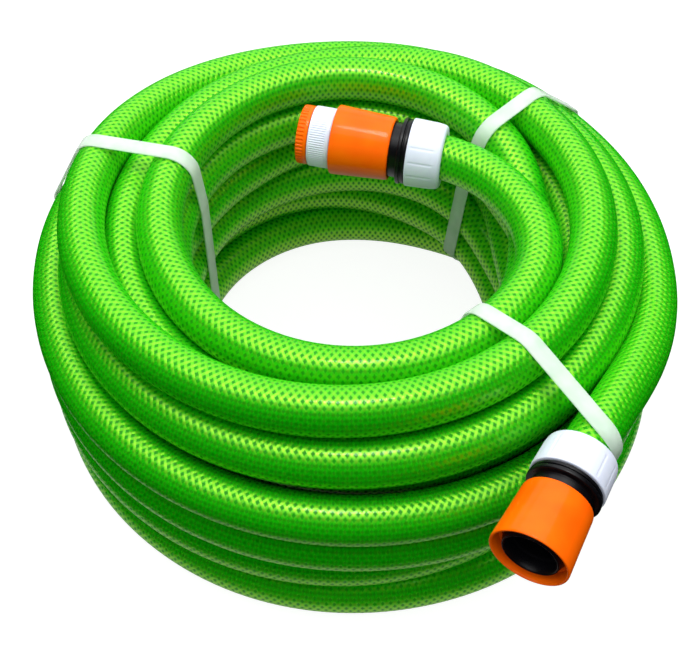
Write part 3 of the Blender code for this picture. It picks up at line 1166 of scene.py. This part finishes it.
@dataclass
class TapAdaptor:
    """The tap adaptor in the inner connector: a finely ribbed ring and a ribbed reducer ring.

    All sizes are in mm, and places are measured from the inner nut's hose side.
    """

    ring_start: float = 42.8
    ring_end: float = 51.3
    ring_radius: float = 11.6
    ring_bore: float = 9.2
    spigot_tip: float = 24.3
    spigot_radius: float = 7.3
    waterway_radius: float = 4.5
    reducer_start: float = 51.6
    reducer_end: float = 55.8
    reducer_radius: float = 11.3
    reducer_tip: float = 45.8
    reducer_neck: float = 8.9
    reducer_bore: float = 6.9

    def ring(self) -> TurnedPiece:
        """Return the white ring and its spigot."""
        start, end, rim = self.ring_start, self.ring_end, self.ring_radius
        outside = (
            Corner(end, rim - 0.05, 0.3), Corner(end - 0.7, rim), Corner(end - 0.8, rim, 0.0, 1.0),
            Corner(start + 1.9, rim, 0.0, 1.0), Corner(start + 1.8, rim), Corner(start, rim - 0.1, 0.6),
        )
        spigot = (
            Corner(start, self.spigot_radius), Corner(self.spigot_tip, self.spigot_radius, 0.5),
            Corner(self.spigot_tip, self.waterway_radius), Corner(start + 2.2, self.waterway_radius),
        )
        inside = (Corner(start + 2.2, self.ring_bore), Corner(end, self.ring_bore))
        return TurnedPiece(
            "adaptor_ribbed_ring", "tap_adaptor_body", "tap_adaptor", Plastic.WHITE,
            outside + spigot + inside, Ribs(count=80, depth=0.22, groove=0.5, softness=0.6), steps=800,
        )

    def reducer(self) -> TurnedPiece:
        """Return the orange reducer ring."""
        start, end, rim = self.reducer_start, self.reducer_end, self.reducer_radius
        outside = (
            Corner(end, rim - 0.2, 0.3), Corner(end - 0.3, rim, 0.0, 1.0),
            Corner(start + 1.5, rim, 0.0, 1.0), Corner(start + 1.3, rim), Corner(start, rim - 0.1, 0.3),
        )
        neck = (
            Corner(start, self.reducer_neck), Corner(self.reducer_tip, self.reducer_neck),
            Corner(self.reducer_tip, self.reducer_bore), Corner(end, self.reducer_bore, 0.5),
        )
        return TurnedPiece(
            "adaptor_reducer_ring", "tap_adaptor_reducer", "tap_adaptor", Plastic.ORANGE,
            outside + neck, Ribs(count=46, depth=0.4, groove=0.45, softness=0.5), steps=736,
        )

    def build(self, place: Matrix, plastics: dict[Plastic, bpy.types.Material]) -> list[bpy.types.Object]:
        """Make the adaptor's two pieces.

        Args:
            place: The inner connector's frame.
            plastics: The material of each plastic.

        Returns:
            The pieces.
        """
        return [piece.build(place, plastics[piece.plastic]) for piece in (self.ring(), self.reducer())]


def make_plastics() -> dict[Plastic, bpy.types.Material]:
    """Make the moulded plastics and the strap's film.

    Returns:
        The material of each plastic.
    """
    white = MouldedPlastic(
        "white_abs_moulding", "#DCE2F0", "#D2D9EA", roughness=0.42, grain_depth_mm=0.012,
        subsurface=0.15, gloss=0.4,
    )
    black = MouldedPlastic(
        "black_abs_moulding", "#0C0C10", "#07070A", roughness=0.32, grain_depth_mm=0.010, gloss=0.3,
    )
    orange = MouldedPlastic(
        "orange_abs_moulding", "#FF6C02", "#FB5E00", roughness=0.34, grain_depth_mm=0.010,
        coat=0.2, gloss=0.06,
    )
    return {
        Plastic.WHITE: white.make(), Plastic.BLACK: black.make(), Plastic.ORANGE: orange.make(),
        Plastic.TIE: StrapFilm().make(),
    }


def main() -> None:
    """Build the scene: camera, hose, straps, fittings and studio."""
    logging.basicConfig(level=logging.INFO, format="%(message)s")
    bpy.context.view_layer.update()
    studio = Studio()
    studio.make_camera()
    hose = GardenHose(HoseRoute())
    tube = hose.build()
    LOG.info("hose: %d path points", len(hose.path))
    plastics = make_plastics()
    outer = QuickConnector("outer")
    ends = outer.build(fitting_place("outer_sleeve_slide", outer.sleeve_start), plastics)
    inner = QuickConnector("inner")
    inner_place = fitting_place("inner_sleeve_slide", inner.sleeve_start)
    ends += inner.build(inner_place, plastics)
    ends += TapAdaptor().build(inner_place, plastics)
    LOG.info("fittings: %d pieces", len(ends))
    straps = (
        Strap("tie_left", 163.0), Strap("tie_back_right", 41.0, lean=-0.1), Strap("tie_front_right", -50.0),
    )
    for strap in straps:
        strap.build(hose, plastics[Plastic.TIE])
        LOG.info("strap: %s", strap.name)
    studio.make_floor()
    studio.make_light()
    bpy.context.scene.view_settings.view_transform = "Standard"


if __name__ == "__main__":
    main()
